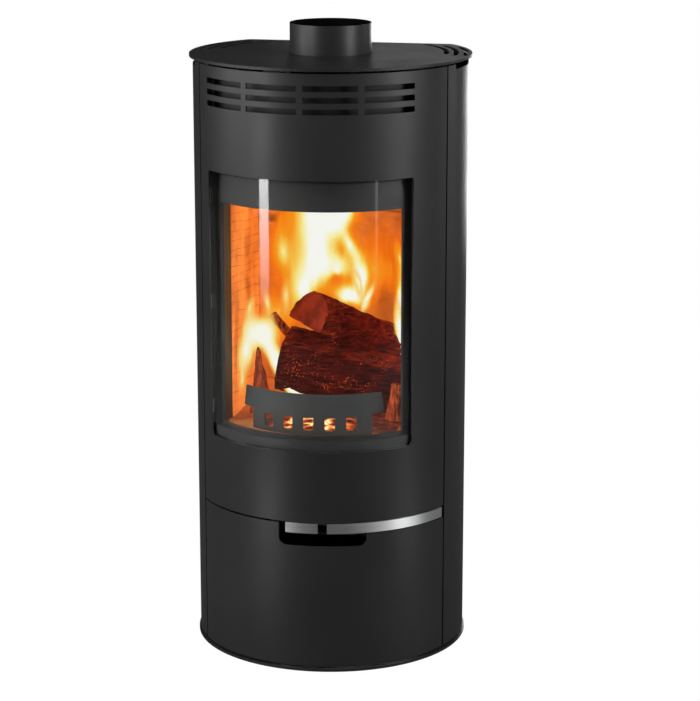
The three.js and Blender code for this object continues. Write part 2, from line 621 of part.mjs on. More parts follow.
// ---- Wood store door -------------------------------------------------------------------------
const notchInset = degrees(NOTCH.corner / BODY_R);
const notchSpan = [NOTCH.from + notchInset, NOTCH.to - notchInset];
const notchCircle = arc(NOTCH.corner, 0, 345, new THREE.Vector2(0, NOTCH.low + NOTCH.corner), 15);
add('lower_door_panel', cut(
  sector(INNER_R, BODY_R, LEFT_EDGE, RIGHT_EDGE, BODY_Z.low, LOWER_DOOR_TOP),
  sector(CLEAR.inner, CLEAR.outer, NOTCH.to - 1, RIGHT_EDGE + 2, LOWER_DOOR_RIGHT_TOP, LOWER_DOOR_TOP + 2),
  sector(CLEAR.inner, CLEAR.outer, NOTCH.from, NOTCH.to, NOTCH.low + NOTCH.corner, LOWER_DOOR_TOP + 2),
  sector(CLEAR.inner, CLEAR.outer, ...notchSpan, NOTCH.low, LOWER_DOOR_TOP),
  ...notchSpan.map((deg) => outward(notchCircle, deg, CLEAR.inner - THROUGH, CLEAR.outer + THROUGH)),
), blackPaint);
add('lower_door_upper_lug', hingeLug(LUG_Z.underMiddle), blackSteel);
add('lower_door_lower_lug', hingeLug(LUG_Z.bottom), blackSteel);

const MAGNET = { low: 120, high: 150, from: 61, to: 69.9 };
const STRIKER_SHEET = 2;
add('lower_door_striker', sector(
  INNER_R - GAP - STRIKER_SHEET, INNER_R - GAP, MAGNET.from, MAGNET.from + 5, MAGNET.low, MAGNET.high,
), bareSteel);
add('magnet_catch', sector(
  RIGHT_POST.inner + 6, INNER_R - STRIKER_SHEET - 2 * GAP, MAGNET.from, MAGNET.to, MAGNET.low, MAGNET.high,
), blackSteel);

// ---- Combustion air --------------------------------------------------------------------------
const NECK = { x: 12, back: -196, low: 279.3, high: 283 };
add('air_control_tab', join(
  sector(AIR_TAB.inner, BODY_R, -AIR_TAB.half, AIR_TAB.half, HANDLE.low, HANDLE.high),
  box(-NECK.x, NECK.x, -AIR_TAB.inner - 2, NECK.back, NECK.low, NECK.high),
), chrome);
add('air_slide_plate', cut(
  box(-SLIDE.x, SLIDE.x, SLIDE.front, SLIDE.back, SLIDE.low, SLIDE.low + SLIDE.sheet),
  ...portCutters(PORT.pitch / 4, SLIDE.low - THROUGH, SLIDE.low + SLIDE.sheet + THROUGH),
), bareSteel);

// A shallow open tray under the slide leads back to a duct that goes down to the rear inlet.
function tray(x, front, low, inset) {
  const back = CHANNEL.back - inset;
  return box(inset - x, x - inset, front + inset, back, low + inset, CHANNEL.high + 2 * inset);
}
add('air_channel', cut(
  join(tray(CHANNEL.x, CHANNEL.front, CHANNEL.low, 0), tray(DUCT.x, DUCT.front, DUCT.low, 0)),
  tray(CHANNEL.x, CHANNEL.front, CHANNEL.low, CHANNEL.sheet),
  tray(DUCT.x, DUCT.front, DUCT.low, CHANNEL.sheet),
  alongY(INLET.r - INLET.wall, INLET.z, CHANNEL.back - 10, CHANNEL.back + 10),
), galvanised);

const inletProfile = [
  [INLET.r - INLET.wall, INLET.front],
  [INLET.r, INLET.front],
  [INLET.r, INLET.back],
  [INLET.r - INLET.wall, INLET.back],
  [INLET.r - INLET.wall, INLET.front],
].map(([r, y]) => new THREE.Vector2(r, y));
add('air_inlet_collar', new THREE.LatheGeometry(inletProfile, 48).translate(0, 0, INLET.z), galvanised);

// ---- Ash pan ---------------------------------------------------------------------------------
const GRIP = { x: 30, reach: 14, low: 344, sheet: 3, lip: 10 };
const gripFront = PAN.front - GRIP.reach;
const panInside = PAN.x - PAN.sheet;
add('ash_pan', join(
  cut(
    box(-PAN.x, PAN.x, PAN.front, PAN.back, PAN.low, PAN.high),
    box(
      -panInside, panInside, PAN.front + PAN.sheet, PAN.back - PAN.sheet, PAN.low + PAN.sheet, PAN.high + 1,
    ),
  ),
  box(-GRIP.x, GRIP.x, gripFront, PAN.front + 1, GRIP.low, GRIP.low + GRIP.sheet),
  box(-GRIP.x, GRIP.x, gripFront, gripFront + PAN.sheet, GRIP.low - GRIP.lip, GRIP.low + 1),
), blackSteel);

export default stove;
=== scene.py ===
"""Looks, fire, floor, light and camera for the wood burning stove.

Metres, +Z up, front towards -Y, origin on the floor under the middle of the flue.
"""

import math

import bmesh
import bpy
import numpy as np
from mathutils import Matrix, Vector, noise


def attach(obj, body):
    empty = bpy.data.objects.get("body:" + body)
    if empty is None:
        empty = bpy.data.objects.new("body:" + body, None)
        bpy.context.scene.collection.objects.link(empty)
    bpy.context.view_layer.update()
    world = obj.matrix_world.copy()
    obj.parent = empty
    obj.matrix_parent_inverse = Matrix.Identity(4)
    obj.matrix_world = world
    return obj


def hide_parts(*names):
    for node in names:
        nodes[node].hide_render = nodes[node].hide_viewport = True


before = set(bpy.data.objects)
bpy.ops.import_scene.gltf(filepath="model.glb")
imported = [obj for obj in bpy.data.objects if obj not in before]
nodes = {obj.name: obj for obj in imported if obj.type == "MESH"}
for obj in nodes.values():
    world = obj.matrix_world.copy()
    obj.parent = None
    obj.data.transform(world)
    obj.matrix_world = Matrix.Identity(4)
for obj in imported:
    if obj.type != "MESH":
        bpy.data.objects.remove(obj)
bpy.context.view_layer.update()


# ---- Node trees ------------------------------------------------------------------------------
MIX_FACTOR, MIX_FIRST, MIX_SECOND, MIX_RESULT = 0, 6, 7, 2  # a Mix node's sockets for colours
WHITE = (1, 1, 1, 1)


class Tree:
    """The node tree of a material, world or light, with short calls for the nodes used here."""

    def __init__(self, owner, clear=True):
        self.owner = owner
        owner.use_nodes = True
        self.tree = owner.node_tree
        if clear:
            self.tree.nodes.clear()

    def node(self, kind, inputs=None, **settings):
        made = self.tree.nodes.new("ShaderNode" + kind)
        for key, value in settings.items():
            setattr(made, key, value)
        for key, value in (inputs or {}).items():
            self.put(made.inputs[key], value)
        return made

    def put(self, socket, value):
        """Links a socket to another one, or sets it to a value."""
        if isinstance(value, bpy.types.NodeSocket):
            self.tree.links.new(value, socket)
        else:
            socket.default_value = value

    def math(self, operation, first, second=0.0, clamp=False):
        inputs = {0: first, 1: second}
        return self.node("Math", inputs, operation=operation, use_clamp=clamp).outputs[0]

    def vector(self, operation, first, second=(0, 0, 0)):
        return self.node("VectorMath", {0: first, 1: second}, operation=operation).outputs[0]

    def length(self, vector):
        return self.node("VectorMath", {0: vector}, operation="LENGTH").outputs["Value"]

    def scaled(self, vector, scale):
        return self.vector("MULTIPLY", vector, scale)

    def place(self):
        return self.node("TexCoord").outputs["Object"]

    def noise(self, vector, scale=1.0, detail=2.0, roughness=0.5):
        inputs = {"Vector": vector, "Scale": scale, "Detail": detail, "Roughness": roughness}
        return self.node("TexNoise", inputs).outputs["Fac"]

    def cells(self, vector, scale, output="Distance"):
        return self.node("TexVoronoi", {"Vector": vector, "Scale": scale}).outputs[output]

    def warp(self, vector, scale, amount, detail=2.0):
        """Shifts a vector by noise, by up to half of amount each way along each axis."""
        made = self.node("TexNoise", {"Vector": vector, "Scale": scale, "Detail": detail})
        centred = self.vector("SUBTRACT", made.outputs["Color"], (0.5, 0.5, 0.5))
        return self.vector("ADD", vector, self.scaled(centred, amount))

    def warp_upright(self, vector, squash, scale, amount):
        """Warps across and up by noise that is drawn out upwards, more so for a smaller squash."""
        squashed = self.scaled(vector, (1.0, 1.0, squash))
        warped = self.warp(squashed, scale, (amount, 0, amount), detail=3)
        return self.vector("ADD", vector, self.vector("SUBTRACT", warped, squashed))

    def between(self, value, source, target=(0.0, 1.0), smooth=False):
        """Maps the source range of a value to the target range, and clamps it there."""
        inputs = {"Value": value, 1: source[0], 2: source[1], 3: target[0], 4: target[1]}
        kind = "SMOOTHSTEP" if smooth else "LINEAR"
        return self.node("MapRange", inputs, interpolation_type=kind).outputs["Result"]

    def ramp(self, factor, stops):
        made = self.node("ValToRGB", {"Fac": factor})
        elements = made.color_ramp.elements
        while len(elements) < len(stops):
            elements.new(1.0)
        for element, (position, colour) in zip(elements, stops):
            element.position = position
            element.color = (*colour, 1.0)
        return made.outputs["Color"]

    def mix_colour(self, factor, first, second):
        made = self.node("Mix", data_type="RGBA")
        self.put(made.inputs[MIX_FACTOR], factor)
        for socket, colour in ((MIX_FIRST, first), (MIX_SECOND, second)):
            fixed = not isinstance(colour, bpy.types.NodeSocket)
            self.put(made.inputs[socket], (*colour, 1.0) if fixed else colour)
        return made.outputs[MIX_RESULT]

    def mix_shader(self, factor, first, second):
        return self.node("MixShader", {0: factor, 1: first, 2: second}).outputs[0]

    def bump(self, height, strength, distance, normal=None):
        inputs = {"Height": height, "Strength": strength, "Distance": distance}
        if normal is not None:
            inputs["Normal"] = normal
        return self.node("Bump", inputs).outputs["Normal"]

    def principled(self, **inputs):
        named = {key.replace("_", " "): value for key, value in inputs.items()}
        return self.node("BsdfPrincipled", named).outputs["BSDF"]

    def surface(self, shader, output="OutputMaterial"):
        self.put(self.node(output).inputs["Surface"], shader)
        return self.owner


def material_tree(name):
    return Tree(bpy.data.materials.new(name))


def grey(level):
    return (level, level, level)


# ---- Paint, metal, glass and rope ------------------------------------------------------------
def painted_steel(name, dark, light, rough, grain=1.0):
    """Heat-resistant paint: a fine sprayed grain, slow changes of sheen and a little dust."""
    t = material_tree(name)
    place = t.place()
    sprayed = t.noise(place, scale=1500)
    cloud = t.noise(place, scale=7, detail=3)
    colour = t.mix_colour(t.between(sprayed, (0.3, 0.7)), dark, light)
    colour = t.mix_colour(t.between(cloud, (0.35, 0.75), (0.0, 0.25)), colour, light)
    slow = t.between(cloud, (0.3, 0.7), rough)
    roughness = t.math("ADD", slow, t.between(sprayed, (0, 1), (-0.04, 0.04)))
    coarse = t.bump(t.noise(place, scale=420), strength=0.10 * grain, distance=0.0004)
    normal = t.bump(sprayed, strength=0.14 * grain, distance=0.00015, normal=coarse)
    return t.surface(t.principled(
        Base_Color=colour, Roughness=roughness, Metallic=0.0, Normal=normal,
        Specular_IOR_Level=0.42,
    ))


def shade_darkened_soot(name):
    """Matt black soot with slow patches and fine crumbs, darkened to near black as a painted
    shade.
    """
    t = material_tree(name)
    place = t.place()
    patches = t.noise(place, scale=18, detail=3)
    crumbs = t.noise(place, scale=420, detail=3, roughness=0.7)
    colour = t.mix_colour(t.between(patches, (0.3, 0.7)), grey(0.0015), grey(0.005))
    return t.surface(t.principled(
        Base_Color=colour, Roughness=1.0, Specular_IOR_Level=0.05,
        Normal=t.bump(crumbs, strength=0.5, distance=0.001),
    ))


LINE_TONE = 0.82  # how light a brushed line is beside the metal


def brushed_metal(name, tone, rough, lines_scale=(10, 10, 1600), stretch=0.0):
    """Bare or plated metal with fine brushed lines; stretch draws highlights out up and down."""
    t = material_tree(name)
    place = t.place()
    lines = t.noise(t.scaled(place, lines_scale), detail=3, roughness=0.6)
    smear = t.noise(place, scale=30)
    line_tone = [channel * LINE_TONE for channel in tone]
    colour = t.mix_colour(t.between(lines, (0.3, 0.7)), line_tone, tone)
    brushed = t.between(lines, (0.2, 0.8), rough)
    roughness = t.math("ADD", brushed, t.between(smear, (0.3, 0.7), (-0.03, 0.03)))
    inputs = {"Normal": t.bump(lines, strength=0.06, distance=0.0001)}
    if stretch:
        round_the_stove = t.node("Tangent", direction_type="RADIAL", axis="Z").outputs[0]
        inputs["Anisotropic"] = stretch
        inputs["Anisotropic_Rotation"] = 0.25
        inputs["Tangent"] = round_the_stove
    return t.surface(t.principled(Base_Color=colour, Roughness=roughness, Metallic=1.0, **inputs))


def galvanised(name):
    """Zinc-coated sheet with its pattern of flakes."""
    t = material_tree(name)
    place = t.place()
    flakes = t.cells(t.warp(place, 60, (0.004,) * 3), scale=90, output="Color")
    tone = t.node("SeparateColor", {0: flakes}).outputs[0]
    colour = t.ramp(tone, [(0.0, (0.36, 0.37, 0.38)), (1.0, (0.55, 0.56, 0.58))])
    roughness = t.between(tone, (0, 1), (0.36, 0.55))
    return t.surface(t.principled(Base_Color=colour, Roughness=roughness, Metallic=0.9))


def cast_iron(name):
    """Sandy cast iron under the fire, glowing in places."""
    t = material_tree(name)
    place = t.place()
    sand = t.noise(place, scale=700, detail=4, roughness=0.7)
    heat = t.noise(place, scale=16)
    colour = t.mix_colour(sand, (0.03, 0.026, 0.024), (0.075, 0.06, 0.05))
    glow = t.between(heat, (0.5, 0.7), (0.0, 0.6))
    return t.surface(t.principled(
        Base_Color=colour, Roughness=0.8, Metallic=0.3,
        Normal=t.bump(sand, strength=0.6, distance=0.0006),
        Emission_Color=(1.0, 0.16, 0.02, 1.0), Emission_Strength=glow,
    ))


def ceramic_glass(name):
    """Clear glass that lets the studio light through to what is behind it."""
    t = material_tree(name)
    place = t.place()
    wipe = t.noise(t.scaled(place, (3, 3, 14)), scale=3.0)
    glass = t.principled(
        Base_Color=(0.97, 0.98, 0.97, 1), Roughness=t.between(wipe, (0.3, 0.7), (0.012, 0.03)),
        IOR=1.47, Transmission_Weight=1.0, Specular_IOR_Level=0.5,
    )
    clear = t.node("BsdfTransparent", {"Color": (0.93, 0.94, 0.93, 1)}).outputs[0]
    shadow = t.node("LightPath").outputs["Is Shadow Ray"]
    return t.surface(t.mix_shader(shadow, glass, clear))


def woven_rope(name):
    """Black glass-fibre rope with slanting strands and paler fuzz."""
    t = material_tree(name)
    place = t.place()
    wave = {"Vector": place, "Scale": 190, "Distortion": 3.0, "Detail": 2.0}
    slant = {"wave_type": "BANDS", "bands_direction": "DIAGONAL"}
    strands = t.node("TexWave", wave, **slant).outputs["Fac"]
    fuzz = t.noise(place, scale=1500, detail=3)
    colour = t.mix_colour(strands, (0.02, 0.02, 0.02), (0.10, 0.10, 0.095))
    colour = t.mix_colour(t.between(fuzz, (0.5, 0.8), (0, 0.4)), colour, (0.16, 0.16, 0.15))
    return t.surface(t.principled(
        Base_Color=colour, Roughness=0.95, Sheen_Weight=0.3,
        Normal=t.bump(strands, strength=0.7, distance=0.001),
    ))


# ---- Firebox lining --------------------------------------------------------------------------
SCORED_SPACING, JOINT_SPACING = 0.017, 0.105
SCORED_SLOPE = 0.11  # the scored lines of the side bricks drop by this share towards the back
LINE_HALF_WIDTH = 0.055  # as a share of the spacing


def lining_board(name, firelight_colour, strength, scored):
    """Hot insulating board: buff, with thin dark lines, and painted firelight: an orange emission
    that stands in for the fire's light on it.

    A scored board has close, sloping lines; the others have level joints, further apart.
    """
    t = material_tree(name)
    place = t.place()
    xyz = t.node("SeparateXYZ", {0: t.warp(place, 9, (0.004, 0.004, 0.006))}).outputs
    height, spacing = xyz[2], JOINT_SPACING
    if scored:
        height = t.math("ADD", height, t.math("MULTIPLY", xyz[1], SCORED_SLOPE))
        spacing = SCORED_SPACING
    wander = t.between(t.noise(t.scaled(place, (2, 2, 18))), (0.2, 0.8), (-0.5, 0.5))
    phase = t.math("ADD", t.math("DIVIDE", height, spacing), wander)
    away = t.math("ABSOLUTE", t.math("SUBTRACT", t.math("FRACT", phase), 0.5))
    line = t.between(away, (0.0, LINE_HALF_WIDTH), (1.0, 0.0), smooth=True)
    broken = t.between(t.noise(t.scaled(place, (30, 30, 60))), (0.35, 0.6))
    line = t.math("MULTIPLY", line, t.math("ADD", t.math("MULTIPLY", broken, 0.6), 0.3))
    mottle = t.noise(t.warp(place, 20, (0.01,) * 3), scale=26, detail=4, roughness=0.6)
    fine = t.noise(place, scale=260, detail=3)
    tall = t.noise(t.scaled(place, (16, 16, 3)), detail=3)
    base = t.mix_colour(t.between(mottle, (0.35, 0.7)), (0.48, 0.22, 0.07), (0.32, 0.12, 0.035))
    base = t.mix_colour(line, base, (0.08, 0.03, 0.01))
    # Painted firelight: the board's emission, in tall streaks and weaker on the lines.
    tall_firelight = t.between(tall, (0.3, 0.7), (0.50, 1.20))
    level = t.math("ADD", tall_firelight, t.between(mottle, (0.3, 0.7), (0.14, -0.14)))
    level = t.math("MULTIPLY", level, t.between(line, (0.0, 1.0), (1.0, 0.30)))
    level = t.math("MULTIPLY", level, t.between(fine, (0.2, 0.8), (0.92, 1.06)))
    glow = t.mix_colour(t.between(tall, (0.35, 0.75)), firelight_colour, (1.0, 0.36, 0.07))
    return t.surface(t.principled(
        Base_Color=base, Roughness=0.95, Normal=t.bump(fine, strength=0.5, distance=0.0008),
        Emission_Color=glow, Emission_Strength=t.math("MULTIPLY", level, strength),
    ))


# ---- Looks of the CAD nodes ------------------------------------------------------------------
CASING = {"dark": grey(0.018), "light": grey(0.026), "rough": (0.36, 0.46)}
casing = painted_steel("casing_paint", **CASING)
top_paint = painted_steel("top_plate_paint", grey(0.011), grey(0.017), rough=(0.42, 0.52))
flue_paint = painted_steel("flue_paint", **CASING)
flue_soot_and_shade = shade_darkened_soot("flue_soot_and_shade")
chassis = painted_steel(
    "chassis_steel", grey(0.010), grey(0.017), rough=(0.46, 0.58), grain=1.4
)
black_steel = painted_steel("black_steel", grey(0.016), grey(0.024), rough=(0.34, 0.46))
guard_steel = painted_steel(
    "guard_steel", (0.024, 0.027, 0.027), (0.036, 0.039, 0.038), rough=(0.45, 0.6), grain=1.6
)
chrome = brushed_metal("chrome_plate", (0.90, 0.91, 0.92), rough=(0.38, 0.45), stretch=0.6)
bare_steel = brushed_metal(
    "bare_steel", (0.55, 0.56, 0.58), rough=(0.28, 0.42), lines_scale=(200, 200, 40)
)
zinc_sheet = galvanised("galvanised_sheet")
# The strength sets how much painted firelight each board sends out.
side_board = lining_board("side_lining", (1.0, 0.175, 0.010), strength=0.95, scored=True)
rear_board = lining_board("rear_lining", (1.0, 0.18, 0.006), strength=0.62, scored=False)
floor_board = lining_board("floor_lining", (0.9, 0.12, 0.006), strength=0.16, scored=False)
baffle_board = lining_board("baffle_lining", (1.0, 0.3, 0.05), strength=0.5, scored=False)

LOOKS = {
    casing: """
        side_panel_left side_panel_right back_panel base_plate fire_door_panel lower_door_panel""",
    top_paint: "top_plate",
    flue_paint: "flue_collar",
    chassis: """
        left_post right_post wood_store_roof ash_compartment_floor firebox_wall_left
        firebox_wall_right firebox_back_wall firebox_roof firebox_floor firebox_front_frame
        upper_hinge_bracket middle_hinge_bracket""",
    black_steel: """
        fire_door_inner_frame fire_door_upper_lug fire_door_lower_lug latch_bearing_lower
        latch_bearing_upper lower_door_upper_lug lower_door_lower_lug magnet_catch ash_pan
        glass_retainer_right""",
    guard_steel: "log_guard",
    chrome: "door_handle air_control_tab",
    bare_steel: """
        upper_hinge_pin middle_hinge_pin lower_hinge_pin latch_keeper_lower latch_keeper_upper
        latch_shaft latch_hook_lower latch_hook_upper lower_door_striker air_slide_plate
        glass_retainer_left""",
    zinc_sheet: "rear_heat_shield air_channel air_inlet_collar",
    cast_iron("grate_iron"): "fire_grate",
    ceramic_glass("ceramic_glass"): "fire_door_glass",
    woven_rope("seal_rope"): "fire_door_rope_seal",
    side_board: "side_brick_left side_brick_right",
    rear_board: "rear_brick",
    floor_board: "floor_brick_left floor_brick_right",
    baffle_board: "baffle_plate",
}
for material, names in LOOKS.items():
    for name in names.split():
        nodes[name].data.materials.clear()
        nodes[name].data.materials.append(material)

FLUE_BORE = 0.0742  # faces nearer the axis than this line the inside of the flue collar
# The inside of the flue collar gets near-black soot, darkened further as a painted shade of the
# recess.
collar = nodes["flue_collar"].data
collar.materials.append(flue_soot_and_shade)
for face in collar.polygons:
    if face.center.xy.length < FLUE_BORE:
        face.material_index = 1


# ---- Smooth shading of the faceted CAD meshes ------------------------------------------------
CREASE = math.cos(math.radians(32))  # faces that meet at a sharper angle keep their edge
WELD_STEPS = 1e5  # per metre: corners on the same step of 0.01 mm count as one
SHORTEST_NORMAL = 1e-9


def corner_weights(mesh):
    """The angle of each face corner, by loop."""
    weights = np.empty(len(mesh.loops))
    for polygon in mesh.polygons:
        points = [mesh.vertices[i].co for i in polygon.vertices]
        for i, loop in enumerate(polygon.loop_indices):
            before, after = points[i - 1] - points[i], points[(i + 1) % len(points)] - points[i]
            weights[loop] = before.angle(after, 0.0)
    return weights


def round_off(obj):
    """Gives a faceted CAD mesh the normals of the curved sheet that it stands for."""
    mesh = obj.data
    corners = len(mesh.loops)
    places = np.empty(len(mesh.vertices) * 3)
    mesh.vertices.foreach_get("co", places)
    places = np.round(places.reshape(-1, 3) * WELD_STEPS).astype(np.int64)
    vertex_of = np.empty(corners, np.int64)
    mesh.loops.foreach_get("vertex_index", vertex_of)
    _, group = np.unique(places[vertex_of], axis=0, return_inverse=True)
    group = group.ravel()
    face_normals = np.empty(len(mesh.polygons) * 3)
    mesh.polygons.foreach_get("normal", face_normals)
    face_normals = face_normals.reshape(-1, 3)
    face_of = np.repeat(np.arange(len(mesh.polygons)), [p.loop_total for p in mesh.polygons])
    weights = corner_weights(mesh)
    order = np.argsort(group, kind="stable")
    ends = np.cumsum(np.bincount(group))
    result = np.empty((corners, 3))
    for start, end in zip(np.concatenate([[0], ends[:-1]]), ends):
        loops = order[start:end]
        normals = face_normals[face_of[loops]]
        alike = (normals @ normals.T) > CREASE
        result[loops] = (alike * weights[loops]) @ normals
    lengths = np.linalg.norm(result, axis=1, keepdims=True)
    unit = result / np.maximum(lengths, SHORTEST_NORMAL)
    result = np.where(lengths > SHORTEST_NORMAL, unit, face_normals[face_of])
    mesh.polygons.foreach_set("use_smooth", np.ones(len(mesh.polygons), bool))
    mesh.normals_split_custom_set(result.tolist())


for obj in nodes.values():
    round_off(obj)


# ---- New pieces ------------------------------------------------------------------------------
def add_piece(name, bm, materials):
    """Turns a bmesh into a piece that stays with the stove body."""
    mesh = bpy.data.meshes.new(name)
    bm.to_mesh(mesh)
    bm.free()
    for material in materials:
        mesh.materials.append(material)
    obj = bpy.data.objects.new(name, mesh)
    bpy.context.scene.collection.objects.link(obj)
    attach(obj, "stove_body")
    return obj


def add_sheet(name, cells, corner, material):
    """A smooth grid of cells[0] by cells[1] quads; corner(i, j) gives the place of each corner."""
    bm = bmesh.new()
    grid = [[bm.verts.new(corner(i, j)) for j in range(cells[1] + 1)] for i in range(cells[0] + 1)]
    for i in range(cells[0]):
        for j in range(cells[1]):
            quad = (grid[i][j], grid[i + 1][j], grid[i + 1][j + 1], grid[i][j + 1])
            bm.faces.new(quad).smooth = True
    return add_piece(name, bm, [material])


# ---- Burning logs ----------------------------------------------------------------------------
LEVEL_GRAIN, UPRIGHT_GRAIN = (26, 60, 240), (240, 200, 22)  # noise scales along X, Y and Z
CUT_END_HEART = (-0.020, -0.070, 0.590)  # middle of the growth rings of the upper log
RING_SCALE = 1700  # radians of ring pattern per metre


def burning_bark(name, dark, red, ember, glow, speckle, grain_scale=LEVEL_GRAIN):
    """Charred split wood: dark red-brown, cracked along the grain, with embers in the cracks, and
    painted firelight: the red glows in patches along the grain.
    """
    t = material_tree(name)
    place = t.place()
    along_grain = t.scaled(t.warp(place, 25, (0.012,) * 3), grain_scale)
    grain = t.noise(along_grain, detail=5, roughness=0.65)
    patches = t.noise(t.warp(place, 14, (0.03,) * 3), scale=22, detail=4, roughness=0.6)
    crumbs = t.cells(t.warp(place, 90, (0.006,) * 3), scale=230)
    colour = t.mix_colour(t.between(grain, (0.35, 0.7)), dark, red)
    crumb_heat = t.between(crumbs, (0.14, 0.34), (1.0, 0.0))
    ember_at = t.math("MULTIPLY", crumb_heat, t.between(patches, (0.46, 0.62)))
    # Painted firelight: the red of the wood sent out as light along the grain; the embers in the
    # cracks glow for real.
    grain_heat = t.between(grain, (0.4, 0.75))
    firelit_grain = t.math("MULTIPLY", grain_heat, t.between(patches, (0.35, 0.75), (0.3, 1.0)))
    light = t.mix_colour(ember_at, red, ember)
    painted_firelight = t.math("MULTIPLY", firelit_grain, glow)
    strength = t.math("ADD", painted_firelight, t.math("MULTIPLY", ember_at, speckle))
    height = t.math("ADD", t.math("MULTIPLY", grain, 0.7), t.math("MULTIPLY", crumbs, 0.4))
    return t.surface(t.principled(
        Base_Color=colour, Roughness=0.9, Specular_IOR_Level=0.12,
        Normal=t.bump(height, strength=0.9, distance=0.004),
        Emission_Color=light, Emission_Strength=strength,
    ))


def cut_wood(name):
    """A sawn end: red-brown, with the arcs of the growth rings and a few darker patches, and its
    own colour sent out again as painted firelight.
    """
    t = material_tree(name)
    place = t.place()
    from_heart = t.vector("SUBTRACT", t.warp(place, 30, (0.006,) * 3), CUT_END_HEART)
    rings = t.math("SINE", t.math("MULTIPLY", t.length(from_heart), RING_SCALE))
    patches = t.noise(place, scale=30, detail=3)
    ringed = t.between(rings, (-1, 1), (0.0, 0.5))
    colour = t.mix_colour(ringed, (0.17, 0.014, 0.004), (0.34, 0.038, 0.008))
    charred = t.between(patches, (0.40, 0.70), (0.0, 0.8))
    colour = t.mix_colour(charred, colour, (0.05, 0.004, 0.002))
    return t.surface(t.principled(
        Base_Color=colour, Roughness=0.85, Specular_IOR_Level=0.15,
        Normal=t.bump(rings, strength=0.2, distance=0.0006),
        # Painted firelight: the end's own colour sent out as light.
        Emission_Color=colour, Emission_Strength=0.55,
    ))


bark = burning_bark(
    "log_bark", dark=(0.016, 0.001, 0.0005), red=(0.11, 0.007, 0.002),
    ember=(0.95, 0.13, 0.02), glow=0.75, speckle=0.9,
)
split = burning_bark(
    "log_split_face", dark=(0.030, 0.002, 0.001), red=(0.26, 0.020, 0.004),
    ember=(0.95, 0.18, 0.04), glow=0.70, speckle=0.6,
)
kindling = burning_bark(
    "log_kindling", dark=(0.08, 0.012, 0.006), red=(0.50, 0.075, 0.018),
    ember=(1.0, 0.42, 0.16), glow=1.1, speckle=0.2, grain_scale=UPRIGHT_GRAIN,
)
# A lighter, brighter copy of the kindling: painted firelight on the piece beside the flames.
firelit_kindling = burning_bark(
    "log_hot_kindling", dark=(0.14, 0.016, 0.006), red=(0.80, 0.13, 0.03),
    ember=(1.0, 0.42, 0.16), glow=1.3, speckle=0.2, grain_scale=UPRIGHT_GRAIN,
)
cut_end = cut_wood("log_cut_end")

STEPS_PER_EDGE = 8  # points on each edge of a log's outline
RINGS_ALONG = 60
SEED_SHIFT = (3.7, 1.3, 2.1)  # moves the noise of each log to another place
RIPPLE_SCALE, RIPPLE_OCTAVES = 34, 4
FIBRE_SCALES, FIBRE_OCTAVES = (3, 14, 14), 3  # along the log, and across it both ways
RIPPLE_SHARE, SPLIT_FIBRE_SHARE, BARK_FIBRE_SHARE = 0.55, 0.9, 0.5
END_BULGE = (0.002, 0.003)  # how far an end stands out, halfway in and at its middle
BARK_SLOT, SPLIT_SLOT, END_SLOT = 0, 1, 2  # a log's material slots


def fractal(place, octaves):
    return noise.fractal(place, 1.0, 2.0, octaves)


def log_outline(outline):
    """Points round a log's section for a unit radius, each with whether it is on a split face.

    outline is a list of (angle in degrees, radius, is_split); split edges are straight and the
    others follow an arc.
    """
    points = []
    for i, (angle, reach, is_split) in enumerate(outline):
        next_angle, next_reach, _ = outline[(i + 1) % len(outline)]
        turn, next_turn = math.radians(angle), math.radians(next_angle)
        first = Vector((math.cos(turn), math.sin(turn))) * reach
        last = Vector((math.cos(next_turn), math.sin(next_turn))) * next_reach
        for step in range(STEPS_PER_EDGE):
            p = first.lerp(last, step / STEPS_PER_EDGE)
            if not is_split:
                reaches = first.length * (STEPS_PER_EDGE - step) + last.length * step
                p = p.normalized() * (reaches / STEPS_PER_EDGE)
            points.append((p, is_split))
    return points


def close_end(bm, ring, along, forward):
    """Caps a log at one ring of points; forward is 1 at its far end and -1 at its near one."""
    count = len(ring)
    centre = sum((v.co for v in ring), Vector()) / count
    inner = [bm.verts.new(v.co.lerp(centre, 0.5) + along * forward * END_BULGE[0]) for v in ring]
    middle = bm.verts.new(centre + along * forward * END_BULGE[1])
    for i in range(count):
        j = (i + 1) % count
        quad, last = (ring[i], ring[j], inner[j], inner[i]), (inner[i], inner[j], middle)
        if forward < 0:
            quad, last = (ring[j], ring[i], inner[i], inner[j]), (inner[j], inner[i], middle)
        for corners in (quad, last):
            bm.faces.new(corners).material_index = END_SLOT


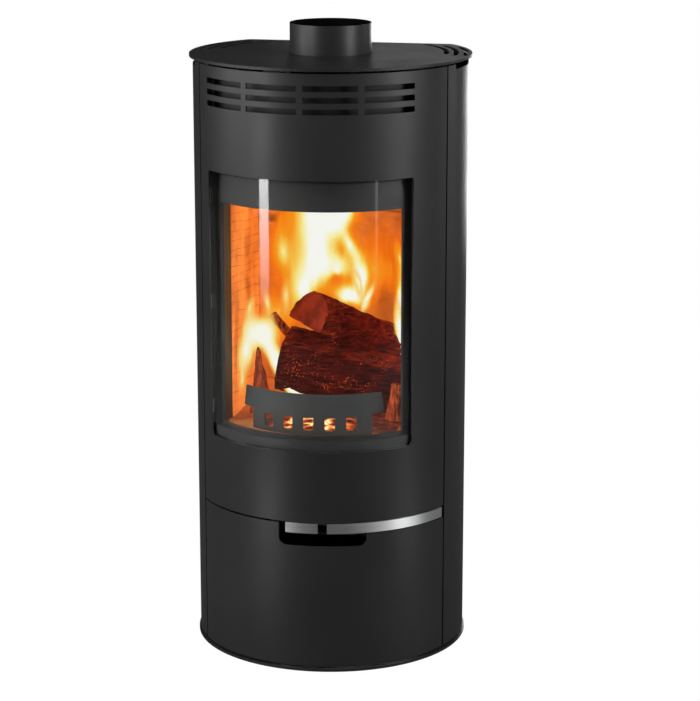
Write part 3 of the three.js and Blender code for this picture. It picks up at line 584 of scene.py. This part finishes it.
def log_piece(name, node, start, end, outline, radius, taper, rough, materials, seed):
    """A split log between two points, in place of a CAD node if one is named."""
    start, end = Vector(start), Vector(end)
    along = (end - start).normalized()
    up = Vector((0, 0, 1)) - along * along.z
    up.normalize()
    side = up.cross(along)
    points = log_outline(outline)
    offset = Vector([shift * seed for shift in SEED_SHIFT])
    bm = bmesh.new()
    rings = []
    for k in range(RINGS_ALONG + 1):
        share = k / RINGS_ALONG
        centre = start.lerp(end, share)
        scale = radius * (1 - taper * share)
        ring = []
        for p, is_split in points:
            outwards = side * p.x + up * p.y
            base = centre + outwards * scale
            ripple = fractal(base * RIPPLE_SCALE + offset, RIPPLE_OCTAVES)
            in_grain = [a * b for a, b in zip((share, p.x, p.y), FIBRE_SCALES)]
            fibre = fractal(Vector(in_grain) + offset, FIBRE_OCTAVES)
            fibre_share = SPLIT_FIBRE_SHARE if is_split else BARK_FIBRE_SHARE
            push = rough * (RIPPLE_SHARE * ripple + fibre_share * fibre)
            ring.append(bm.verts.new(base + outwards * push))
        rings.append(ring)
    count = len(points)
    for k in range(RINGS_ALONG):
        for i in range(count):
            j = (i + 1) % count
            face = bm.faces.new((rings[k][i], rings[k][j], rings[k + 1][j], rings[k + 1][i]))
            face.material_index = SPLIT_SLOT if points[i][1] else BARK_SLOT
            face.smooth = True
    close_end(bm, rings[0], along, -1)
    close_end(bm, rings[-1], along, 1)
    bmesh.ops.recalc_face_normals(bm, faces=bm.faces)
    obj = add_piece(name, bm, materials)
    if node:
        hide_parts(node)


LOG_LOOK = (bark, split, cut_end)
THIN_LOOK = (kindling, kindling, cut_end)
FIRELIT_LOOK = (firelit_kindling, firelit_kindling, cut_end)
log_piece(
    "burning_log_lower", "log_lower",
    start=(-0.080, -0.056, 0.541), end=(0.158, -0.044, 0.494),
    outline=[
        (200, 1.0, False), (262, 1.0, False), (330, 0.95, False),
        (30, 0.9, False), (62, 1.05, True), (140, 1.05, False),
    ],
    radius=0.059, taper=0.08, rough=0.008, materials=LOG_LOOK, seed=1,
)
log_piece(
    "burning_log_upper", "log_upper",
    start=(-0.026, -0.076, 0.626), end=(0.114, 0.078, 0.530),
    outline=[
        (352, 1.2, False), (30, 1.04, False), (62, 1.0, False), (95, 0.97, True),
        (130, 1.04, True), (165, 1.12, True), (205, 1.1, True),
    ],
    radius=0.050, taper=0.10, rough=0.005, materials=LOG_LOOK, seed=2,
)
log_piece(
    "burning_log_left", "log_left",
    start=(-0.108, -0.104, 0.448), end=(-0.118, -0.094, 0.566),
    outline=[(10, 0.9, True), (90, 0.7, True), (180, 1.0, True), (270, 0.9, False)],
    radius=0.026, taper=0.93, rough=0.003, materials=THIN_LOOK, seed=3,
)
log_piece(
    "burning_log_right", "log_right",
    start=(0.142, -0.122, 0.450), end=(0.147, -0.112, 0.516),
    outline=[(10, 0.9, True), (110, 0.8, True), (200, 1.0, True), (290, 0.9, False)],
    radius=0.017, taper=0.3, rough=0.003, materials=FIRELIT_LOOK, seed=4,
)
log_piece(
    "burning_stick", None,
    start=(-0.118, 0.016, 0.606), end=(-0.078, 0.020, 0.560),
    outline=[(10, 0.9, True), (110, 0.8, True), (200, 1.0, True), (290, 0.9, True)],
    radius=0.013, taper=0.2, rough=0.002, materials=THIN_LOOK, seed=5,
)


# ---- Embers ----------------------------------------------------------------------------------
EMBER_STOPS = [
    (0.0, (0.25, 0.01, 0.0)), (0.4, (1.0, 0.13, 0.01)),
    (0.75, (1.0, 0.45, 0.08)), (1.0, (1.0, 0.85, 0.5)),
]
EMBER_CELLS = (70, 56)
EMBERS_LOW, EMBERS_HIGH = Vector((-0.115, -0.150)), Vector((0.150, 0.090))
GRATE_TOP = 0.4325
EDGE_CELLS = 10  # the heap rises over this many cells from its edge
HEAP, LUMP = 0.006, 0.004  # heights of the heap and of the lumps on it
LUMP_SCALE, LUMP_OCTAVES = 45, 4


def ember_material(name):
    """Glowing coals, hottest under the middle of the fire."""
    t = material_tree(name)
    place = t.place()
    lumps = t.cells(t.warp(place, 40, (0.01,) * 3), scale=62)
    ash = t.noise(place, scale=120, detail=3)
    lump_heat = t.between(lumps, (0.2, 0.75))
    heat = t.math("MULTIPLY", lump_heat, t.between(ash, (0.25, 0.75), (0.4, 1.2)))
    sideways = t.scaled(t.vector("ADD", place, (0.006, 0, 0)), (1, 0, 0))
    falling_off = t.between(t.length(sideways), (0.028, 0.085), (1.3, 0.22))
    heat = t.math("MULTIPLY", heat, falling_off)
    colour = t.ramp(heat, EMBER_STOPS)
    return t.surface(t.principled(
        Base_Color=(0.05, 0.04, 0.035, 1), Roughness=0.95,
        Normal=t.bump(lumps, strength=0.8, distance=0.004),
        Emission_Color=colour, Emission_Strength=t.between(heat, (0.05, 0.9), (0.12, 1.4)),
    ))


def ember_corner(i, j):
    """A corner of the low heap of coals on the grate."""
    x = EMBERS_LOW.x + (EMBERS_HIGH.x - EMBERS_LOW.x) * i / EMBER_CELLS[0]
    y = EMBERS_LOW.y + (EMBERS_HIGH.y - EMBERS_LOW.y) * j / EMBER_CELLS[1]
    from_sides = min(i, EMBER_CELLS[0] - i, EDGE_CELLS)
    from_ends = min(j, EMBER_CELLS[1] - j, EDGE_CELLS)
    edge = from_sides * from_ends / EDGE_CELLS**2
    lump = fractal(Vector((x, y, 0)) * LUMP_SCALE, LUMP_OCTAVES)
    return (x, y, GRATE_TOP + edge * (HEAP + LUMP * lump))


embers = add_sheet("ember_bed", EMBER_CELLS, ember_corner, ember_material("ember_bed"))


# ---- Flames ----------------------------------------------------------------------------------
FLAME_STOPS = [
    (0.0, (0.95, 0.15, 0.004)), (0.22, (1.0, 0.20, 0.006)), (0.42, (1.0, 0.34, 0.015)),
    (0.58, (1.0, 0.62, 0.09)), (0.74, (1.0, 0.88, 0.34)), (0.90, (1.0, 0.97, 0.70)),
    (1.0, (1.0, 1.0, 0.94)),
]
WISP_STOPS = [
    (0.0, (1.0, 0.42, 0.06)), (0.35, (1.0, 0.60, 0.12)),
    (0.65, (1.0, 0.86, 0.40)), (1.0, (1.0, 0.99, 0.88)),
]
FLAME_CELLS = (26, 26)
TONGUE_SQUASH, TONGUE_SCALE = 0.55, 11
FLICKER_SQUASH, FLICKER_SCALE, FLICKER = 0.35, 46, 0.012
STREAK_SCALE = (38, 1, 5)
WAVE_X, WAVE_Z, WAVE_SEED = 9, 7, 5.1  # noise scales of a sheet's waves
FAINTEST, FAINT = 0.02, 0.12  # heat at which fire begins to show, and to have streaks in full


def flame_material(name, blobs, warp, streaks, opacity, stops):
    """Fire on an upright sheet, as the sum of soft blobs that are bent into tongues.

    Each blob is (x, z, half width, half height, lean in degrees, strength). opacity is the heat
    from which the fire hides what is behind it.
    """
    t = material_tree(name)
    flat = t.scaled(t.place(), (1, 0, 1))
    bent = t.warp_upright(flat, TONGUE_SQUASH, TONGUE_SCALE, warp)
    bent = t.warp_upright(bent, FLICKER_SQUASH, FLICKER_SCALE, FLICKER)
    total = None
    for x, z, width, height, lean, strength in blobs:
        frame_of_blob = {
            "Vector": bent, "Location": (x, 0, z), "Rotation": (0, math.radians(lean), 0),
            "Scale": (width, 1, height),
        }
        turned = t.node("Mapping", frame_of_blob, vector_type="TEXTURE").outputs[0]
        ball = t.node("TexGradient", {"Vector": turned}, gradient_type="QUADRATIC_SPHERE")
        part = t.math("MULTIPLY", ball.outputs["Fac"], strength)
        total = part if total is None else t.math("ADD", total, part)
    streak = t.noise(t.scaled(bent, STREAK_SCALE), detail=3, roughness=0.6)
    streaked = t.math("MULTIPLY", t.between(streak, (0.2, 0.8), (-1, 1)), streaks)
    heat = t.math("ADD", total, streaked)
    heat = t.math("MULTIPLY", heat, t.between(total, (0.0, FAINT)), clamp=True)
    colour = t.ramp(heat, stops)
    cover = t.between(heat, (FAINTEST, opacity), smooth=True)
    fire = t.node("Emission", {"Color": colour, "Strength": 1.0}).outputs[0]
    clear = t.node("BsdfTransparent").outputs[0]
    return t.surface(t.mix_shader(cover, clear, fire))


def flame_sheet(name, x_range, z_range, depth, wave, seed, **fire):
    """An upright, gently waving sheet across the firebox for fire to show on."""

    def corner(i, j):
        x = x_range[0] + (x_range[1] - x_range[0]) * i / FLAME_CELLS[0]
        z = z_range[0] + (z_range[1] - z_range[0]) * j / FLAME_CELLS[1]
        sway = noise.noise(Vector((x * WAVE_X, z * WAVE_Z, seed * WAVE_SEED)))
        return (x, depth + wave * sway, z)

    add_sheet(name, FLAME_CELLS, corner, flame_material(name, **fire))


# Each blob: x, z, half width, half height, lean in degrees, strength (below 0 takes fire away).
BACK_FIRE = [
    (-0.045, 0.805, 0.095, 0.125, 0, 1.5),
    (0.006, 0.795, 0.050, 0.090, 28, 1.2),
    (-0.050, 0.712, 0.064, 0.115, 6, 1.35),
    (-0.072, 0.640, 0.046, 0.095, 6, 1.1),
    (-0.108, 0.715, 0.050, 0.120, -4, 0.74),
    (-0.118, 0.600, 0.060, 0.090, 0, 0.48),
    (-0.004, 0.682, 0.078, 0.074, 0, 1.30),
    (-0.004, 0.670, 0.048, 0.042, 0, -0.86),
    (0.020, 0.636, 0.052, 0.036, 12, 1.3),
    (0.020, 0.735, 0.026, 0.060, -26, 0.95),
    (0.042, 0.672, 0.022, 0.068, -4, 1.0),
    (0.066, 0.690, 0.090, 0.170, 0, 0.40),
    (0.092, 0.640, 0.046, 0.090, 4, 0.50),
    (0.090, 0.632, 0.036, 0.072, 4, -0.80),
    (0.118, 0.600, 0.018, 0.150, 2, 1.5),
    (0.118, 0.715, 0.020, 0.060, -12, 0.50),
    (-0.140, 0.560, 0.060, 0.080, 0, 0.55),
    (0.0, 0.470, 0.200, 0.070, 0, 0.7),
]
MIDDLE_FIRE = [
    (0.047, 0.674, 0.013, 0.060, -14, 1.0),
    (0.066, 0.648, 0.014, 0.062, 22, 1.1),
    (0.128, 0.575, 0.016, 0.115, -3, 1.6),
    (-0.092, 0.640, 0.022, 0.080, 8, 0.50),
    (0.132, 0.510, 0.014, 0.060, 6, 1.0),
]
FRONT_FIRE = [
    (-0.112, 0.594, 0.048, 0.052, -30, 1.7),
    (-0.076, 0.533, 0.024, 0.092, -31, 2.2),
    (-0.142, 0.560, 0.030, 0.080, 12, 1.1),
    (-0.050, 0.486, 0.020, 0.050, -34, 1.6),
    (-0.132, 0.640, 0.020, 0.060, 14, 0.60),
    (-0.100, 0.650, 0.016, 0.055, -8, 0.55),
    (-0.150, 0.500, 0.016, 0.060, 0, 0.5),
]
flame_sheet(
    "flames_back", (-0.160, 0.160), (0.438, 0.848), depth=0.075, wave=0.012, seed=1,
    blobs=BACK_FIRE, warp=0.022, streaks=0.13, opacity=0.30, stops=FLAME_STOPS,
)
flame_sheet(
    "flames_middle", (-0.155, 0.160), (0.440, 0.830), depth=0.020, wave=0.010, seed=2,
    blobs=MIDDLE_FIRE, warp=0.018, streaks=0.12, opacity=0.55, stops=WISP_STOPS,
)
flame_sheet(
    "flames_front", (-0.160, -0.010), (0.440, 0.700), depth=-0.088, wave=0.004, seed=3,
    blobs=FRONT_FIRE, warp=0.012, streaks=0.10, opacity=0.55, stops=WISP_STOPS,
)


# ---- Studio ----------------------------------------------------------------------------------
def aim(obj, place, target):
    obj.location = place
    obj.rotation_mode = "QUATERNION"
    obj.rotation_quaternion = (Vector(target) - Vector(place)).to_track_quat("-Z", "Y")


def soft_box(name, azimuth, distance, height, width, tall, power, target_height, fade):
    """A soft light round the stove; fade gives the heights where it starts and is at its full."""
    light = bpy.data.lights.new(name, "AREA")
    light.shape, light.size, light.size_y, light.energy = "RECTANGLE", width, tall, power
    if fade:
        t = Tree(light, clear=False)
        place = t.node("NewGeometry").outputs["Position"]
        level = t.between(t.node("SeparateXYZ", {0: place}).outputs["Z"], fade)
        t.put(t.tree.nodes["Emission"].inputs["Strength"], level)
    obj = bpy.data.objects.new(name, light)
    bpy.context.scene.collection.objects.link(obj)
    angle = math.radians(azimuth)
    place = (distance * math.sin(angle), -distance * math.cos(angle), height)
    aim(obj, place, (0, 0, target_height))


# name: azimuth, distance, middle height, width, height, watts, height aimed at, fade
SOFT_BOXES = {
    "strip_left": (-43.9, 2.6, 1.25, 0.39, 2.3, 25, 1.25, (0.12, 0.50)),
    "strip_right": (50, 2.6, 1.25, 0.10, 2.3, 0.8, 1.25, (0.12, 0.50)),
    "soft_left": (-70, 2.6, 1.75, 1.1, 2.0, 44, 0.9, None),
    "soft_front_left": (-34, 2.6, 1.60, 0.6, 1.6, 5, 0.9, None),
    "low_left": (-35, 1.05, 0.035, 0.36, 0.05, 0.65, 0.20, None),
    "low_right": (72, 1.05, 0.035, 0.28, 0.05, 0.32, 0.20, None),
    "soft_right": (69, 2.6, 1.75, 0.80, 2.2, 54, 0.9, None),
    "soft_rear_right": (128, 2.6, 1.3, 0.7, 2.2, 5, 0.7, None),
    "soft_rear": (178, 2.8, 0.80, 1.6, 1.1, 30, 0.6, None),
    "soft_top": (128, 1.9, 2.9, 0.9, 0.9, 4, 1.0, None),
}
for name, settings in SOFT_BOXES.items():
    soft_box(name, *settings)

# The backdrop is white to the camera, and dim as a light, so that the soft boxes do the lighting.
AMBIENT = 0.05
world = bpy.data.worlds.new("studio")
bpy.context.scene.world = world
studio = Tree(world)
seen = studio.node("Background", {"Color": WHITE}).outputs[0]
lit = studio.node("Background", {"Color": WHITE, "Strength": AMBIENT}).outputs[0]
straight = studio.node("LightPath").outputs["Is Camera Ray"]
studio.surface(studio.mix_shader(straight, lit, seen), output="OutputWorld")

# The floor is near white to the camera, with a faint shadow, and darker in reflections.
FLOOR_HALF = 40.0
FLOOR_TONE = 0.11
FLOOR_BRIGHT, FLOOR_BRIGHT_SHARE = 1.06, 0.94
FLOOR_CORNERS = [
    (-FLOOR_HALF, -FLOOR_HALF, 0), (FLOOR_HALF, -FLOOR_HALF, 0),
    (FLOOR_HALF, FLOOR_HALF, 0), (-FLOOR_HALF, FLOOR_HALF, 0),
]
floor_mesh = bpy.data.meshes.new("floor")
floor_mesh.from_pydata(FLOOR_CORNERS, [], [(0, 1, 2, 3)])
floor = bpy.data.objects.new("floor", floor_mesh)
bpy.context.scene.collection.objects.link(floor)
paper = material_tree("pale_floor")
matte = paper.principled(
    Base_Color=(*grey(FLOOR_TONE), 1), Roughness=0.9, Specular_IOR_Level=0.1
)
bright = paper.node("Emission", {"Color": WHITE, "Strength": FLOOR_BRIGHT}).outputs[0]
straight = paper.node("LightPath").outputs["Is Camera Ray"]
share = paper.math("MULTIPLY", straight, FLOOR_BRIGHT_SHARE)
floor_mesh.materials.append(paper.surface(paper.mix_shader(share, matte, bright)))


# ---- Camera ----------------------------------------------------------------------------------
# Azimuth and distance place it round the stove; heading and pitch turn it. Angles in degrees.
AZIMUTH, DISTANCE, EYE_HEIGHT = 12.65, 4.397, 1.621
HEADING, PITCH, LENS_MM = 12.19, 13.75, 123.3
camera_data = bpy.data.cameras.new("camera")
camera_data.lens = LENS_MM
camera = bpy.data.objects.new("camera", camera_data)
bpy.context.scene.collection.objects.link(camera)
bpy.context.scene.camera = camera
swing, heading, pitch = (math.radians(angle) for angle in (AZIMUTH, HEADING, PITCH))
eye = Vector((DISTANCE * math.sin(swing), -DISTANCE * math.cos(swing), EYE_HEIGHT))
gaze = Vector((
    -math.sin(heading) * math.cos(pitch), math.cos(heading) * math.cos(pitch), -math.sin(pitch)
))
aim(camera, eye, eye + gaze)

bpy.context.scene.view_settings.view_transform = "Standard"
